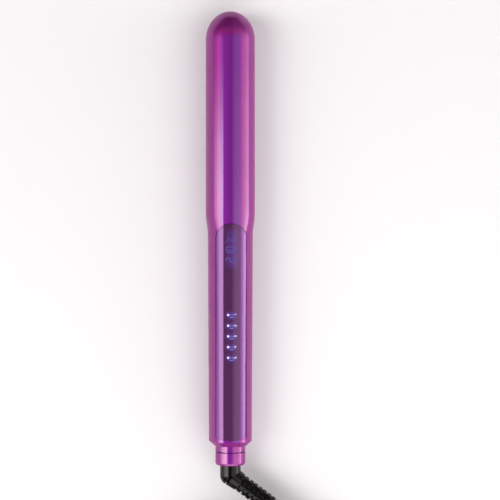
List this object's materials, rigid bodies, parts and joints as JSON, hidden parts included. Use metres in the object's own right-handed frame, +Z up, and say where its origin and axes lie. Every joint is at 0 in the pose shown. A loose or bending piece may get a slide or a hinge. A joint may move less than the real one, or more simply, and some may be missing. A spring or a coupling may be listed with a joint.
{
  "type": "hair crimper",
  "caption": "Slim electric hair crimper with ridged hot plates, hinged arms, a sliding lock ring and a swivelling mains cord.",
  "frame": {"origin": "on the surface that the tool lies on, under the middle of the tool without its cord", "axes": "+Y along the tool to its tip, +Z up through the display, +X to the right seen from above with the tip ahead"},
  "size_m": [0.093, 0.4075, 0.0444],
  "materials": {
    "metallised_purple": "vacuum-metallised plastic under clear purple lacquer",
    "smoked_violet": "clear violet plastic, polished",
    "black_moulding": "fine moulded grain",
    "coated_plate": "ceramic-coated aluminium, satin",
    "spring_steel": "bright zinc-plated",
    "nickel": "nickel-plated brass",
    "contact_brass": "bare",
    "ceramic_white": "sintered ceramic",
    "silicone": "soft silicone",
    "board_green": "solder mask",
    "component_black": "moulded packages",
    "lamp_blue": "diffusing lens",
    "wire_sleeve": "silicone sleeve",
    "lead_white": "silicone-covered leads",
    "cord_black": "soft matt jacket",
    "tie_black": "flat flexible band",
    "fuse_metal": "bright can"
  },
  "bodies": {
    "lower_arm": {"lower_shell": "metallised_purple", "lower_inner_cover": "black_moulding", "lower_plate_frame": "black_moulding", "lower_crimp_plate": "coated_plate", "lower_heater": "ceramic_white", "lower_heater_clamp": "spring_steel", "lower_plate_cushions": "silicone", "lower_thermistor": "ceramic_white", "lower_thermal_fuse": "fuse_metal", "lower_cover_screws": "spring_steel", "lower_frame_screws": "spring_steel", "lower_heater_wires": "lead_white", "hinge_block": "black_moulding", "hinge_block_screws": "spring_steel", "hinge_pins": "spring_steel", "tail_collar": "metallised_purple", "brush_holder": "black_moulding", "contact_brushes": "contact_brass", "opening_spring": "spring_steel", "hinge_wires": "wire_sleeve"},
    "upper_arm": {"upper_shell": "metallised_purple", "display_panel": "smoked_violet", "upper_inner_cover": "black_moulding", "upper_plate_frame": "black_moulding", "upper_crimp_plate": "coated_plate", "upper_heater": "ceramic_white", "upper_heater_clamp": "spring_steel", "upper_plate_cushions": "silicone", "upper_thermistor": "ceramic_white", "upper_thermal_fuse": "fuse_metal", "upper_cover_screws": "spring_steel", "upper_frame_screws": "spring_steel", "upper_heater_wires": "lead_white", "upper_hinge_bracket": "spring_steel", "bracket_screws": "spring_steel", "main_board": "board_green", "board_screws": "spring_steel", "display_module": "component_black", "indicator_lamps": "lamp_blue", "touch_contacts": "fuse_metal", "power_parts": "component_black"},
    "lock": {"lock_cup": "metallised_purple", "lock_hook": "spring_steel"},
    "swivel": {"strain_relief": "cord_black", "swivel_stem": "black_moulding", "slip_rings": "contact_brass", "cord_run": "cord_black", "cord_coil": "cord_black", "cord_tail": "cord_black", "cord_tie": "tie_black", "plug_body": "cord_black", "plug_blades": "nickel"}
  },
  "joints": [
    {"name": "arm_hinge", "type": "hinge", "parent": "lower_arm", "child": "upper_arm", "pos_m": [0, -0.123, 0.0145], "axis": [1, 0, 0], "range_deg": [0, 11], "deforming": ["opening_spring", "hinge_wires"]},
    {"name": "lock_slide", "type": "slide", "parent": "lower_arm", "child": "lock", "axis": [0, -1, 0], "range_m": [0, 0.003]},
    {"name": "cord_swivel", "type": "hinge", "parent": "lower_arm", "child": "swivel", "pos_m": [0, -0.1372, 0.0145], "axis": [0, 1, 0], "continuous": true}
  ]
}
